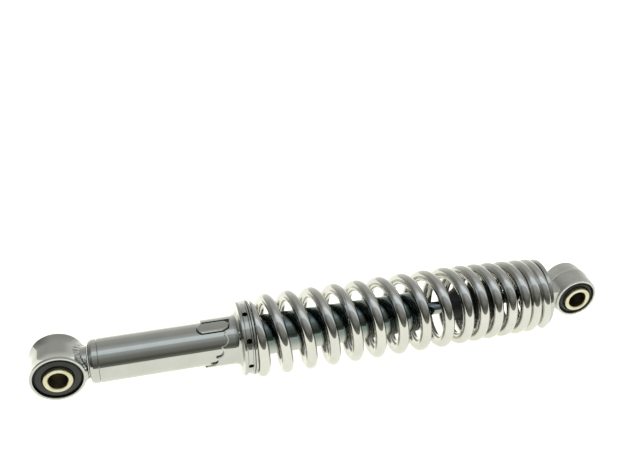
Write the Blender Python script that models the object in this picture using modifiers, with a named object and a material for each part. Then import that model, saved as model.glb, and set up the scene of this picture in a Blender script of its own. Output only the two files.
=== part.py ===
"""Rear shock absorber with an outer coil spring, built as its separate pieces.

The shock lies along X with the lower eye centred on the world origin and the upper eye at +X.
Both bolt axes run along Y, and Z is up. Lengths below are in millimetres unless the name says degrees.
Angles around the shock are measured from -Y towards +Z.
"""
import math

import bmesh
import bpy
from mathutils import Vector

MM = 0.001
GAP = 0.3

# Whole shock
EYE_TO_EYE = 340.0
BOLT_BORE_RADIUS = 6.0
SLEEVE_RADIUS = 8.75

# Lower eye
LOWER_RING_RADIUS = 16.0
LOWER_LIP_RADIUS = 16.7
LOWER_RING_HALF = 11.6
LOWER_RUBBER_RADIUS = 14.6
LOWER_RUBBER_HALF = 11.0
LOWER_SLEEVE_HALF = 13.2
NECK_RADIUS = 10.2
NECK_END = 18.2

# Damper body
TUBE_RADIUS = 13.75
TUBE_BORE = 12.5
TUBE_START = 24.6
TUBE_END = 231.5
CYLINDER_RADIUS = 10.9
CYLINDER_BORE = 10.0
CYLINDER_START = 31.0
CYLINDER_END = 215.0

# Preload stops and cam collar
LUG_ANGLE = 81.0
LUG_START = 86.2
LUG_END = 105.4
LUG_WIDTH = 6.8
LUG_TOP = 15.4
COLLAR_BORE = 14.05
COLLAR_RADIUS = 15.1
COLLAR_FACE = 118.3
COLLAR_RIM_RADIUS = 23.9
FIRST_SEAT_X = LUG_END + GAP
SEAT_ANGLES = [LUG_ANGLE] + [43.0 - 28.5 * k for k in range(4)]
SEAT_DROPS = [0.0, 1.8, 5.2, 9.0, 12.7]
TONGUE_DROP = 15.8
TONGUE_END_ANGLE = -80.0
WRENCH_HOLE_ANGLE = 78.9
WRENCH_HOLE_COUNT = 8
WRENCH_HOLE_RADIUS = 1.4

# Coil spring
SEAT_RING_RADIUS = 24.2
SPRING_MEAN_RADIUS = 22.8
SPRING_END_RADIUS = 21.3
TAPER_FIRST_TURN = 8.5
WIRE_RADIUS = 3.45
SPRING_START = 123.7
SPRING_TURNS = 15.31
SPRING_START_ANGLE = 72.0
WIDE_PITCH = 15.1
TIGHT_PITCH = 9.95
CLOSED_PITCH = 6.98
STEPS_PER_TURN = 17

# Rod, cap and upper eye
ROD_RADIUS = 4.25
ROD_END = 325.2
CAP_FACE = 315.3
CAP_BACK = 318.4
CAP_RADIUS = 23.5
SHANK_FACE = 318.8
UPPER_RING_RADIUS = 14.0
UPPER_PARTING_RADIUS = 14.8
UPPER_RING_HALF = 12.8
UPPER_RUBBER_RADIUS = 12.35
UPPER_RUBBER_HALF = 12.2
UPPER_SLEEVE_HALF = 14.4
BUMP_START = 251.0
BUMP_LENGTH = 30.0

FINISHES = {
    "chrome": ((0.72, 0.73, 0.72), 0.08, 1.0),
    "spring_chrome": ((0.70, 0.71, 0.70), 0.10, 1.0),
    "cast_aluminium": ((0.60, 0.61, 0.58), 0.42, 1.0),
    "zinc_yellow": ((0.76, 0.70, 0.45), 0.34, 1.0),
    "black_rubber": ((0.018, 0.018, 0.017), 0.55, 0.0),
    "steel": ((0.42, 0.42, 0.43), 0.30, 1.0),
    "ground_rod": ((0.62, 0.63, 0.64), 0.12, 1.0),
    "bronze": ((0.55, 0.36, 0.16), 0.35, 1.0),
    "black_plastic": ((0.03, 0.03, 0.032), 0.5, 0.0),
}


def clear_scene():
    for obj in list(bpy.data.objects):
        bpy.data.objects.remove(obj, do_unlink=True)


def make_collection(name):
    collection = bpy.data.collections.new(name)
    bpy.context.scene.collection.children.link(collection)
    return collection


def make_finish(name):
    colour, roughness, metallic = FINISHES[name]
    material = bpy.data.materials.new(name)
    material.use_nodes = True
    shader = material.node_tree.nodes["Principled BSDF"]
    shader.inputs["Base Color"].default_value = (*colour, 1.0)
    shader.inputs["Roughness"].default_value = roughness
    shader.inputs["Metallic"].default_value = metallic
    material.diffuse_color = (*colour, 1.0)
    return material


clear_scene()
PARTS = make_collection("rear_shock_absorber")
CUTTERS = make_collection("shaping_tools")
MATERIALS = {name: make_finish(name) for name in FINISHES}


def add_object(name, data, finish=None):
    obj = bpy.data.objects.new(name, data)
    if finish is None:
        CUTTERS.objects.link(obj)
        obj.hide_render = True
        obj.display_type = "WIRE"
    else:
        PARTS.objects.link(obj)
        data.materials.append(MATERIALS[finish])
    return obj


def point_along(obj, direction, origin):
    """Turn the object's own Z to a world axis and put its origin at a place in millimetres."""
    turns = {"X": (0.0, math.pi / 2, 0.0), "Y": (-math.pi / 2, 0.0, 0.0), "Z": (0.0, 0.0, 0.0)}
    obj.rotation_euler = turns[direction]
    obj.location = Vector(origin) * MM


def signed_area(profile):
    total = 0.0
    for i, (r0, z0) in enumerate(profile):
        r1, z1 = profile[(i + 1) % len(profile)]
        total += r0 * z1 - r1 * z0
    return total / 2


def turned(name, profile, direction, origin, finish=None, steps=32):
    """A turned piece. The profile lists (radius, height) points; heights run along the turning axis."""
    points = list(profile)
    if signed_area(points) > 0:
        points.reverse()
    solid = any(abs(radius) < 1e-9 for radius, _ in points)
    if solid:
        start = next(
            i for i in range(len(points))
            if abs(points[i][0]) < 1e-9 and abs(points[i - 1][0]) < 1e-9
        )
        points = points[start:] + points[:start]
    mesh = bpy.data.meshes.new(name)
    shape = bmesh.new()
    corners = [shape.verts.new((radius * MM, 0.0, height * MM)) for radius, height in points]
    count = len(corners)
    for i in range(count - 1 if solid else count):
        shape.edges.new((corners[i], corners[(i + 1) % count]))
    shape.to_mesh(mesh)
    shape.free()
    obj = add_object(name, mesh, finish)
    screw = obj.modifiers.new("turn", "SCREW")
    screw.axis = "Z"
    screw.angle = math.tau
    screw.steps = steps
    screw.render_steps = steps
    screw.use_merge_vertices = True
    screw.merge_threshold = 0.00001
    screw.use_smooth_shade = True
    point_along(obj, direction, origin)
    return obj


def along_axis(profile):
    """Change (x, radius) points along the shock to the (radius, height) order that turned() takes."""
    return [(radius, x) for x, radius in profile]


def turned_x(name, profile, finish, steps=32):
    return turned(name, along_axis(profile), "X", (0.0, 0.0, 0.0), finish, steps)


def plain_ring(inner, outer, start, end):
    """A ring with square edges, as (x, radius) points."""
    return [(start, inner), (start, outer), (end, outer), (end, inner)]


def ring_profile(inner, outer, start, end, chamfer=0.4):
    """A ring with its four edges broken, as (x, radius) points."""
    return [
        (start, inner + chamfer),
        (start, outer - chamfer),
        (start + chamfer, outer),
        (end - chamfer, outer),
        (end, outer - chamfer),
        (end, inner + chamfer),
        (end - chamfer, inner),
        (start + chamfer, inner),
    ]


def cylinder(name, radius, start, end, direction, origin, steps=32):
    profile = [(0.0, start), (radius, start), (radius, end), (0.0, end)]
    return turned(name, profile, direction, origin, None, steps)


def cut(obj, tool, operation="DIFFERENCE"):
    boolean = obj.modifiers.new(tool.name, "BOOLEAN")
    boolean.operation = operation
    boolean.solver = "EXACT"
    boolean.object = tool
    return boolean


def prism(name, outline, low, high, finish=None):
    """A flat outline in local XY raised along local Z from low to high."""
    mesh = bpy.data.meshes.new(name)
    shape = bmesh.new()
    corners = [shape.verts.new((x * MM, y * MM, low * MM)) for x, y in outline]
    face = shape.faces.new(corners)
    raised = bmesh.ops.extrude_face_region(shape, geom=[face])
    lifted = [item for item in raised["geom"] if isinstance(item, bmesh.types.BMVert)]
    bmesh.ops.translate(shape, verts=lifted, vec=(0.0, 0.0, (high - low) * MM))
    bmesh.ops.recalc_face_normals(shape, faces=shape.faces)
    shape.to_mesh(mesh)
    shape.free()
    return add_object(name, mesh, finish)


def rounded_box(name, low, high, finish=None, bevel=1.2):
    """A box between two corners in millimetres, with its edges rounded."""
    outline = [(low[0], low[1]), (high[0], low[1]), (high[0], high[1]), (low[0], high[1])]
    obj = prism(name, outline, low[2], high[2], finish)
    rounding = obj.modifiers.new("rounding", "BEVEL")
    rounding.width = bevel * MM
    rounding.segments = 2
    return obj


def hexagon(across_flats):
    corner = across_flats / math.sqrt(3)
    return [
        (corner * math.cos(math.radians(60 * k)), corner * math.sin(math.radians(60 * k)))
        for k in range(6)
    ]


def obround(length, width, steps=6):
    """Outline of a slot shape centred on the origin, long in X."""
    radius = width / 2
    offset = length / 2 - radius
    points = []
    for side in (1, -1):
        for k in range(steps + 1):
            angle = math.radians(180.0 * k / steps - 90.0)
            points.append((side * (offset + radius * math.cos(angle)), side * radius * math.sin(angle)))
    return points


# ---------------------------------------------------------------- lower eye


def build_lower_eye():
    lip = 1.6
    slope = 0.7
    half = LOWER_RING_HALF
    outer = [
        (0.0, -half),
        (LOWER_LIP_RADIUS - 0.5, -half),
        (LOWER_LIP_RADIUS, -half + 0.5),
        (LOWER_LIP_RADIUS, -half + lip),
        (LOWER_RING_RADIUS, -half + lip + slope),
        (LOWER_RING_RADIUS, half - lip - slope),
        (LOWER_LIP_RADIUS, half - lip),
        (LOWER_LIP_RADIUS, half - 0.5),
        (LOWER_LIP_RADIUS - 0.5, half),
        (0.0, half),
    ]
    ring = turned("lower_eye_ring", outer, "Y", (0.0, 0.0, 0.0), "chrome", 40)
    neck = cylinder("lower_neck", NECK_RADIUS, 8.0, NECK_END, "X", (0.0, 0.0, 0.0))
    bore = cylinder("lower_eye_bore", LOWER_RUBBER_RADIUS + GAP, -20.0, 20.0, "Y", (0.0, 0.0, 0.0), 40)
    cut(ring, neck, "UNION")
    cut(ring, bore)
    build_bush("lower", 0.0, LOWER_RUBBER_RADIUS, LOWER_RUBBER_HALF, LOWER_SLEEVE_HALF)


def build_bush(end, x, rubber_radius, rubber_half, sleeve_half):
    """The rubber bush and the steel sleeve of one eye, centred at x on the shock's axis."""
    rubber = ring_profile(SLEEVE_RADIUS + GAP, rubber_radius, -rubber_half, rubber_half, 0.6)
    sleeve = ring_profile(BOLT_BORE_RADIUS, SLEEVE_RADIUS, -sleeve_half, sleeve_half, 0.4)
    turned(f"{end}_bush_rubber", along_axis(rubber), "Y", (x, 0.0, 0.0), "black_rubber", 32)
    turned(f"{end}_bush_sleeve", along_axis(sleeve), "Y", (x, 0.0, 0.0), "zinc_yellow", 28)


# -------------------------------------------------------------- damper body


def build_damper_body():
    spigot = TUBE_BORE - GAP
    turned_x(
        "bottom_end_cap",
        [
            (18.5, 0.0), (18.5, 12.2), (19.3, 13.0), (24.3, 13.35), (24.3, spigot),
            (28.0, spigot), (28.0, 9.0), (25.5, 9.0), (25.5, 0.0),
        ],
        "chrome",
    )
    tube = turned_x(
        "reservoir_tube",
        [
            (TUBE_START, TUBE_BORE), (TUBE_START, TUBE_RADIUS - 0.5), (TUBE_START + 0.5, TUBE_RADIUS),
            (TUBE_END - 1.2, TUBE_RADIUS), (TUBE_END, TUBE_RADIUS - 1.2), (TUBE_END, 10.2),
            (TUBE_END - 1.2, 10.2), (TUBE_END - 1.2, TUBE_BORE),
        ],
        "chrome",
        40,
    )
    for number in range(2):
        cut(tube, build_lug(number), "UNION")
    cylinder_wall = plain_ring(CYLINDER_BORE, CYLINDER_RADIUS, CYLINDER_START, CYLINDER_END)
    turned_x("working_cylinder", cylinder_wall, "steel", 24)
    turned_x(
        "base_valve",
        [
            (28.3, 0.0), (28.3, 8.6), (29.3, 11.6), (30.7, 11.6), (30.7, CYLINDER_BORE - GAP),
            (35.5, CYLINDER_BORE - GAP), (35.5, 3.0), (33.0, 3.0), (33.0, 0.0),
        ],
        "steel",
        24,
    )


def build_lug(number):
    """A pressed stop on the tube; the two stand on opposite sides."""
    length = LUG_END - LUG_START
    lug = prism(f"stop_lug_{number + 1}", obround(length, LUG_WIDTH), 13.0, LUG_TOP)
    angle = math.radians(LUG_ANGLE + 180 * number)
    lug.rotation_euler = (math.pi / 2 - angle, 0.0, 0.0)
    lug.location = ((LUG_START + LUG_END) / 2 * MM, 0.0, 0.0)
    return lug


def build_gland():
    guide_bore = 5.6
    turned_x(
        "rod_guide",
        [
            (211.0, guide_bore), (211.0, CYLINDER_BORE - GAP), (CYLINDER_END + GAP, CYLINDER_BORE - GAP),
            (CYLINDER_END + GAP, TUBE_BORE - GAP), (222.2, TUBE_BORE - GAP), (222.2, guide_bore),
        ],
        "cast_aluminium",
        24,
    )
    turned_x("guide_bushing", plain_ring(ROD_RADIUS + 0.1, 5.3, 212.0, 221.8), "bronze", 24)
    turned_x(
        "oil_seal",
        [
            (222.5, 5.6), (222.5, 12.0), (227.6, 12.0), (227.6, ROD_RADIUS + 0.9),
            (226.4, ROD_RADIUS + 0.1), (224.6, ROD_RADIUS + 0.1),
        ],
        "black_rubber",
        24,
    )
    turned_x("seal_cover", plain_ring(ROD_RADIUS + 0.6, 12.0, 227.9, TUBE_END - 1.2 - GAP), "steel", 24)


# ------------------------------------------------------------ preload collar


def ramp_edge(angle):
    """Where the collar's stepped left edge lies at an angle in degrees; the steps repeat every half turn."""
    angle = (angle - LUG_ANGLE - 20.0) % 180.0 + LUG_ANGLE - 160.0
    if angle >= SEAT_ANGLES[0] - 14.0:
        return FIRST_SEAT_X
    stops = SEAT_ANGLES + [SEAT_ANGLES[-1] - 18.0]
    drops = SEAT_DROPS + [TONGUE_DROP]
    for k in range(len(stops) - 1):
        if angle >= stops[k + 1]:
            share = (stops[k] - angle) / (stops[k] - stops[k + 1])
            share = share * share * (3 - 2 * share)
            return FIRST_SEAT_X - drops[k] - share * (drops[k + 1] - drops[k])
    if angle >= TONGUE_END_ANGLE:
        return FIRST_SEAT_X - TONGUE_DROP
    return FIRST_SEAT_X


def collar_section(angle):
    edge = ramp_edge(angle)
    return [
        (edge, COLLAR_BORE),
        (edge, COLLAR_RADIUS),
        (106.5, COLLAR_RADIUS),
        (109.5, 15.7),
        (111.7, 17.2),
        (113.0, 19.6),
        (113.0, COLLAR_RIM_RADIUS - 0.6),
        (113.6, COLLAR_RIM_RADIUS),
        (COLLAR_FACE - 0.5, COLLAR_RIM_RADIUS),
        (COLLAR_FACE, COLLAR_RIM_RADIUS - 0.5),
        (COLLAR_FACE, COLLAR_BORE),
    ]


def build_collar(columns=60):
    mesh = bpy.data.meshes.new("preload_cam_collar")
    shape = bmesh.new()
    rows = []
    for column in range(columns):
        degrees = 360.0 * column / columns
        angle = math.radians(degrees)
        rows.append([
            shape.verts.new((x * MM, -radius * math.cos(angle) * MM, radius * math.sin(angle) * MM))
            for x, radius in collar_section(degrees)
        ])
    for column in range(columns):
        here = rows[column]
        after = rows[(column + 1) % columns]
        for i in range(len(here)):
            k = (i + 1) % len(here)
            shape.faces.new((here[i], here[k], after[k], after[i]))
    bmesh.ops.recalc_face_normals(shape, faces=shape.faces)
    for face in shape.faces:
        face.smooth = True
    shape.to_mesh(mesh)
    shape.free()
    collar = add_object("preload_cam_collar", mesh, "chrome")
    cut(collar, build_wrench_holes())


def build_wrench_holes():
    mesh = bpy.data.meshes.new("wrench_holes")
    shape = bmesh.new()
    for number in range(WRENCH_HOLE_COUNT):
        angle = math.radians(WRENCH_HOLE_ANGLE + 360.0 * number / WRENCH_HOLE_COUNT)
        outward = Vector((0.0, -math.cos(angle), math.sin(angle)))
        turn = outward.to_track_quat("Z", "Y").to_matrix().to_4x4()
        turn.translation = outward * (23.5 * MM) + Vector((115.8 * MM, 0.0, 0.0))
        bmesh.ops.create_cone(
            shape, cap_ends=True, segments=10, depth=6.0 * MM, matrix=turn,
            radius1=WRENCH_HOLE_RADIUS * MM, radius2=WRENCH_HOLE_RADIUS * MM,
        )
    shape.to_mesh(mesh)
    shape.free()
    return add_object("wrench_holes", mesh)


# ------------------------------------------------------------------- spring


def spring_pitch(turn):
    """Advance per turn at a distance along the wire counted in turns: closed ends, wide then tight coils."""
    knots = [
        (0.0, 0.0), (0.35, 0.0), (0.45, WIDE_PITCH), (8.1, WIDE_PITCH), (9.957, TIGHT_PITCH),
        (13.4, TIGHT_PITCH), (13.9, CLOSED_PITCH), (SPRING_TURNS, CLOSED_PITCH),
    ]
    for (t0, p0), (t1, p1) in zip(knots, knots[1:]):
        if turn <= t1:
            return p0 + (p1 - p0) * (turn - t0) / (t1 - t0)
    return 0.0


def coil_radius(turn):
    """Mean radius of the coil: even at first, then drawn in towards the upper end."""
    share = max(0.0, (turn - TAPER_FIRST_TURN) / (SPRING_TURNS - TAPER_FIRST_TURN))
    return SPRING_MEAN_RADIUS + share * (SPRING_END_RADIUS - SPRING_MEAN_RADIUS)


def spring_points():
    steps = round(SPRING_TURNS * STEPS_PER_TURN)
    x = SPRING_START
    fine = 20
    for step in range(steps + 1):
        turn = SPRING_TURNS * step / steps
        angle = math.radians(SPRING_START_ANGLE - 360.0 * turn)
        radius = coil_radius(turn)
        yield (x, -radius * math.cos(angle), radius * math.sin(angle))
        width = SPRING_TURNS / steps / fine
        for k in range(fine):
            x += spring_pitch(turn + (k + 0.5) * width) * width


def build_spring():
    curve = bpy.data.curves.new("coil_spring", "CURVE")
    curve.dimensions = "3D"
    curve.bevel_depth = WIRE_RADIUS * MM
    curve.bevel_resolution = 2
    curve.use_fill_caps = True
    points = list(spring_points())
    spline = curve.splines.new("POLY")
    spline.points.add(len(points) - 1)
    for target, place in zip(spline.points, points):
        target.co = (*(value * MM for value in place), 1.0)
    add_object("coil_spring", curve, "spring_chrome")


def build_spring_seats():
    turned_x("spring_seat_ring", plain_ring(14.1, SEAT_RING_RADIUS, 118.6, 120.0), "chrome", 36)
    turned_x(
        "upper_spring_cap",
        [
            (309.0, 16.2), (309.0, 16.8), (309.4, 17.2), (CAP_FACE, 17.2), (CAP_FACE, CAP_RADIUS - 0.7),
            (CAP_FACE + 0.7, CAP_RADIUS), (CAP_BACK - 1.2, CAP_RADIUS),
            (CAP_BACK, CAP_RADIUS - 1.2), (CAP_BACK, 10.2), (CAP_BACK - 1.6, 10.2),
            (CAP_BACK - 1.6, 16.2),
        ],
        "chrome",
        36,
    )


# ---------------------------------------------------------- rod and piston


def build_rod():
    turned_x(
        "piston_rod",
        [
            (179.5, 0.0), (179.5, 3.0), (180.0, 3.5), (194.0, 3.5), (194.0, ROD_RADIUS),
            (ROD_END - 0.8, ROD_RADIUS), (ROD_END, ROD_RADIUS - 0.8), (ROD_END, 0.0),
        ],
        "ground_rod",
        24,
    )
    turned_x(
        "piston",
        [
            (185.5, 3.8), (185.5, 8.8), (186.0, 9.3), (188.0, 9.3), (188.0, 8.5), (191.0, 8.5),
            (191.0, 9.3), (193.2, 9.3), (193.7, 8.8), (193.7, 3.8),
        ],
        "steel",
        24,
    )
    turned_x("piston_ring", plain_ring(8.8, 9.75, 188.3, 190.7), "bronze", 24)
    turned_x("valve_shim", plain_ring(3.8, 7.6, 184.7, 185.2), "steel", 24)
    build_nut("piston_nut", 12.0, 181.0, 184.4, 3.8)
    turned_x("rebound_stop", plain_ring(ROD_RADIUS + GAP, 7.8, 200.0, 210.7), "black_plastic", 24)


def build_nut(name, across_flats, start, end, bore_radius):
    nut = prism(name, hexagon(across_flats), start, end, "steel")
    point_along(nut, "X", (0.0, 0.0, 0.0))
    cut(nut, cylinder(f"{name}_bore", bore_radius, start - 2, end + 2, "X", (0.0, 0.0, 0.0), 24))


def build_rod_top():
    build_nut("rod_lock_nut", 17.0, 311.6, 318.4, ROD_RADIUS + GAP)
    turned_x("bump_washer", plain_ring(ROD_RADIUS + GAP, 9.6, 309.5, 311.3), "steel", 24)
    inner = ROD_RADIUS + GAP
    start = BUMP_START
    end = BUMP_START + BUMP_LENGTH
    turned_x(
        "bump_stop",
        [
            (start, inner), (start, 6.6), (start + 1.2, 7.8), (start + 8.0, 11.6),
            (start + 10.5, 12.3), (start + 16.0, 12.3), (start + 18.0, 11.0), (start + 20.0, 12.3),
            (end - 1.0, 12.3), (end, 11.3), (end, inner),
        ],
        "black_rubber",
    )


# ---------------------------------------------------------------- upper eye


def build_upper_eye():
    centre = (EYE_TO_EYE, 0.0, 0.0)
    half = UPPER_RING_HALF
    profile = [
        (0.0, -half), (UPPER_RING_RADIUS - 0.6, -half), (UPPER_RING_RADIUS, -half + 0.6),
        (UPPER_PARTING_RADIUS, 0.0),
        (UPPER_RING_RADIUS, half - 0.6), (UPPER_RING_RADIUS - 0.6, half), (0.0, half),
    ]
    eye = turned("upper_eye_casting", profile, "Y", centre, "cast_aluminium", 40)
    shank = rounded_box("shank_block", (SHANK_FACE + 1.0, -11.5, -8.0), (335.0, 11.5, 8.0))
    base = cylinder("shank_base", 11.8, SHANK_FACE, SHANK_FACE + 2.2, "X", (0.0, 0.0, 0.0))
    bore = cylinder("upper_eye_bore", UPPER_RUBBER_RADIUS + GAP, -20.0, 20.0, "Y", centre, 40)
    thread_radius = ROD_RADIUS + GAP
    thread = cylinder(
        "rod_thread_bore", thread_radius, SHANK_FACE - 3, ROD_END + GAP, "X", (0.0, 0.0, 0.0), 24,
    )
    cut(eye, shank, "UNION")
    cut(eye, base, "UNION")
    cut(eye, bore)
    cut(eye, thread)
    build_bush("upper", EYE_TO_EYE, UPPER_RUBBER_RADIUS, UPPER_RUBBER_HALF, UPPER_SLEEVE_HALF)


build_lower_eye()
build_damper_body()
build_gland()
build_collar()
build_spring()
build_spring_seats()
build_rod()
build_rod_top()
build_upper_eye()
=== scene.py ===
"""Looks of a rear shock absorber: chromed damper, cam collar, coil spring, cast upper eye and rubber bushes.

The shock lies along X with the lower eye centred on the origin. Lengths are in millimetres unless a name
says otherwise. Angles around the shock run from -Y towards +Z.
"""

import math

import bmesh
import bpy
import numpy as np
from mathutils import Matrix, Vector


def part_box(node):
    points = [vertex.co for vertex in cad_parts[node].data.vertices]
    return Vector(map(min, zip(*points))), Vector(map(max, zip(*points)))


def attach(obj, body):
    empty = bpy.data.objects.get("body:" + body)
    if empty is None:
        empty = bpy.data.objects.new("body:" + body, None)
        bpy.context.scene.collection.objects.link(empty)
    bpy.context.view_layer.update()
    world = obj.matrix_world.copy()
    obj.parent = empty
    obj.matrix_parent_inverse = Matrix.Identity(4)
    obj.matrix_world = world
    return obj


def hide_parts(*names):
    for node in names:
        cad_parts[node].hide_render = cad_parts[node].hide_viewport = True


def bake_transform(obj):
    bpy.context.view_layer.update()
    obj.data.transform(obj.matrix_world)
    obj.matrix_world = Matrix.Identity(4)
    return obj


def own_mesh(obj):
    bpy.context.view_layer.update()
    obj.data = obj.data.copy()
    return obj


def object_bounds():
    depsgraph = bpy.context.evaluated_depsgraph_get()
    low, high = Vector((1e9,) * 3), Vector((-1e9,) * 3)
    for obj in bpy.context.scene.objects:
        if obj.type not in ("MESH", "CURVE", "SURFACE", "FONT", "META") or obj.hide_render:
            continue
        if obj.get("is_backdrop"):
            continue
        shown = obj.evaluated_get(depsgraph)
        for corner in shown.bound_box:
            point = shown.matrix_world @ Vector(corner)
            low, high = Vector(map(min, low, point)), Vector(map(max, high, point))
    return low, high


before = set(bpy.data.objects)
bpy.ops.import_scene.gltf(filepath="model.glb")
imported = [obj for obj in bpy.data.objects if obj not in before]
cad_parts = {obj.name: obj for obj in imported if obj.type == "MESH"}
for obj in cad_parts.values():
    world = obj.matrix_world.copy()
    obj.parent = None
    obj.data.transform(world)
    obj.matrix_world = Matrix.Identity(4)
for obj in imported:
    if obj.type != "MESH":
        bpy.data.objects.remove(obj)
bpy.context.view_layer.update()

MM = 0.001
UP = Vector((0.0, 0.0, 1.0))


def span(node):
    """Where a CAD node starts and ends along the shock, and its largest radius, in millimetres."""
    low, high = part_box(node)
    return low.x / MM, high.x / MM, max(high.y, high.z) / MM


# ------------------------------------------------------------------ camera

FOCAL_LENGTH = 51.95
SENSOR_WIDTH = 36.0
CAMERA_AZIMUTH = 14.716  # degrees, as are the two below
CAMERA_ELEVATION = 33.72
CAMERA_ROLL = -0.735
CAMERA_PLACE = (44.09, -429.82, 370.13)
CLIP_NEAR, CLIP_FAR = 0.01, 60.0  # metres


def add_camera():
    azimuth = math.radians(CAMERA_AZIMUTH)
    elevation = math.radians(CAMERA_ELEVATION)
    roll = math.radians(CAMERA_ROLL)
    forward = Vector((
        math.sin(azimuth) * math.cos(elevation),
        math.cos(azimuth) * math.cos(elevation),
        -math.sin(elevation),
    ))
    level_right = forward.cross(UP).normalized()
    level_down = forward.cross(level_right)
    right = level_right * math.cos(roll) + level_down * math.sin(roll)
    down = level_down * math.cos(roll) - level_right * math.sin(roll)
    data = bpy.data.cameras.new("camera")
    data.sensor_width = SENSOR_WIDTH
    data.lens = FOCAL_LENGTH
    data.clip_start = CLIP_NEAR
    data.clip_end = CLIP_FAR
    camera = bpy.data.objects.new("camera", data)
    bpy.context.scene.collection.objects.link(camera)
    turn = Matrix((right, -down, -forward)).transposed().to_4x4()
    camera.matrix_world = Matrix.Translation(Vector(CAMERA_PLACE) * MM) @ turn
    bpy.context.scene.camera = camera


add_camera()


# --------------------------------------------------------------- materials


class Nodes:
    """Short names for building a node tree."""

    def __init__(self, tree, coordinates):
        self.tree = tree
        self.place = self.add("TexCoord").outputs[coordinates]

    def add(self, kind):
        return self.tree.nodes.new("ShaderNode" + kind)

    def join(self, source, target):
        self.tree.links.new(source, target)

    def parts(self, vector):
        """The X, Y and Z of a vector."""
        node = self.add("SeparateXYZ")
        self.join(vector, node.inputs["Vector"])
        return node.outputs

    def remap(self, value, low, high, to_low=0.0, to_high=1.0):
        node = self.add("MapRange")
        node.interpolation_type = "SMOOTHSTEP"
        for name, number in (("From Min", low), ("From Max", high), ("To Min", to_low), ("To Max", to_high)):
            node.inputs[name].default_value = number
        self.join(value, node.inputs["Value"])
        return node.outputs["Result"]

    def math(self, operation, first, second):
        node = self.add("Math")
        node.operation = operation
        for socket, value in zip(node.inputs, (first, second)):
            if isinstance(value, (int, float)):
                socket.default_value = value
            else:
                self.join(value, socket)
        return node.outputs["Value"]


class MaterialNodes(Nodes):
    """The node tree of one new material, in the object's own coordinates."""

    def __init__(self, name, metallic=0.0):
        self.material = bpy.data.materials.new(name)
        self.material.use_nodes = True
        super().__init__(self.material.node_tree, "Object")
        self.shader = self.tree.nodes["Principled BSDF"]
        self.shader.inputs["Metallic"].default_value = metallic

    def stretched(self, scale):
        """The object's own coordinates, scaled along each axis."""
        node = self.add("Mapping")
        node.inputs["Scale"].default_value = scale
        self.join(self.place, node.inputs["Vector"])
        return node.outputs["Vector"]

    def noise(self, scale, detail=3.0, roughness=0.5, place=None):
        node = self.add("TexNoise")
        node.inputs["Scale"].default_value = scale
        node.inputs["Detail"].default_value = detail
        node.inputs["Roughness"].default_value = roughness
        self.join(place or self.place, node.inputs["Vector"])
        return node.outputs["Fac"]

    def cells(self, scale):
        node = self.add("TexVoronoi")
        node.inputs["Scale"].default_value = scale
        self.join(self.place, node.inputs["Vector"])
        return node.outputs["Distance"]

    def mix(self, factor, first, second):
        node = self.add("Mix")
        node.data_type = "RGBA"
        self.join(factor, node.inputs["Factor"])
        for name, colour in (("A", first), ("B", second)):
            socket = [s for s in node.inputs if s.name == name and s.type == "RGBA"][0]
            if isinstance(colour, tuple):
                socket.default_value = (*colour, 1.0)
            else:
                self.join(colour, socket)
        return [s for s in node.outputs if s.type == "RGBA"][0]

    def bump(self, height, strength, distance, normal=None):
        node = self.add("Bump")
        node.inputs["Strength"].default_value = strength
        node.inputs["Distance"].default_value = distance
        self.join(height, node.inputs["Height"])
        if normal is not None:
            self.join(normal, node.inputs["Normal"])
        return node.outputs["Normal"]

    def finish(self, colour=None, roughness=None, normal=None):
        for name, value in (("Base Color", colour), ("Roughness", roughness), ("Normal", normal)):
            if value is not None:
                self.join(value, self.shader.inputs[name])
        return self.material


def polished(name, colour, dull_colour, gloss, haze, ripple, scratch_scale):
    """Plated metal: a mirror with faint handling marks, polishing lines and a slight orange-peel ripple."""
    n = MaterialNodes(name, metallic=1.0)
    smudge = n.noise(55.0, 4.0, 0.6)
    lines = n.noise(1.0, 2.0, 0.5, n.stretched(scratch_scale))
    tint = n.mix(n.remap(smudge, 0.35, 0.72), colour, dull_colour)
    marks = n.remap(smudge, 0.42, 0.75, gloss, gloss + haze)
    fine = n.remap(lines, 0.35, 0.7, 0.0, haze * 0.7)
    roughness = n.math("ADD", marks, fine)
    wave = n.bump(n.noise(260.0, 1.0, 0.4), ripple, 0.0004)
    scored = n.bump(lines, 0.05, 0.00004, wave)
    return n.finish(tint, roughness, scored)


def cast_metal():
    """Sand-textured aluminium casting, rubbed brighter here and there."""
    n = MaterialNodes("cast_aluminium", metallic=1.0)
    patch = n.noise(90.0, 4.0, 0.6)
    grain = n.noise(2600.0, 3.0, 0.6)
    pits = n.cells(1500.0)
    tint = n.mix(n.remap(patch, 0.3, 0.7), (0.50, 0.50, 0.47), (0.58, 0.58, 0.55))
    roughness = n.remap(grain, 0.25, 0.75, 0.34, 0.52)
    skin = n.bump(grain, 0.25, 0.0002)
    return n.finish(tint, roughness, n.bump(pits, 0.12, 0.0002, skin))


def zinc():
    """Pale yellow passivated steel with fine turning marks."""
    n = MaterialNodes("zinc_yellow", metallic=1.0)
    cloud = n.noise(240.0, 4.0, 0.6)
    turning = n.noise(1.0, 2.0, 0.5, n.stretched((3000.0, 900.0, 3000.0)))
    tint = n.mix(n.remap(cloud, 0.32, 0.68), (0.54, 0.50, 0.33), (0.62, 0.60, 0.45))
    roughness = n.remap(turning, 0.3, 0.7, 0.30, 0.46)
    return n.finish(tint, roughness, n.bump(turning, 0.12, 0.0001))


def rubber():
    """Moulded rubber, almost black, with a fine grain."""
    n = MaterialNodes("black_rubber")
    cloud = n.noise(160.0, 5.0, 0.6)
    grain = n.noise(3200.0, 3.0, 0.6)
    tint = n.mix(n.remap(cloud, 0.35, 0.75), (0.006, 0.007, 0.007), (0.016, 0.016, 0.015))
    roughness = n.remap(grain, 0.3, 0.7, 0.36, 0.56)
    return n.finish(tint, roughness, n.bump(grain, 0.25, 0.00015))


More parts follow.
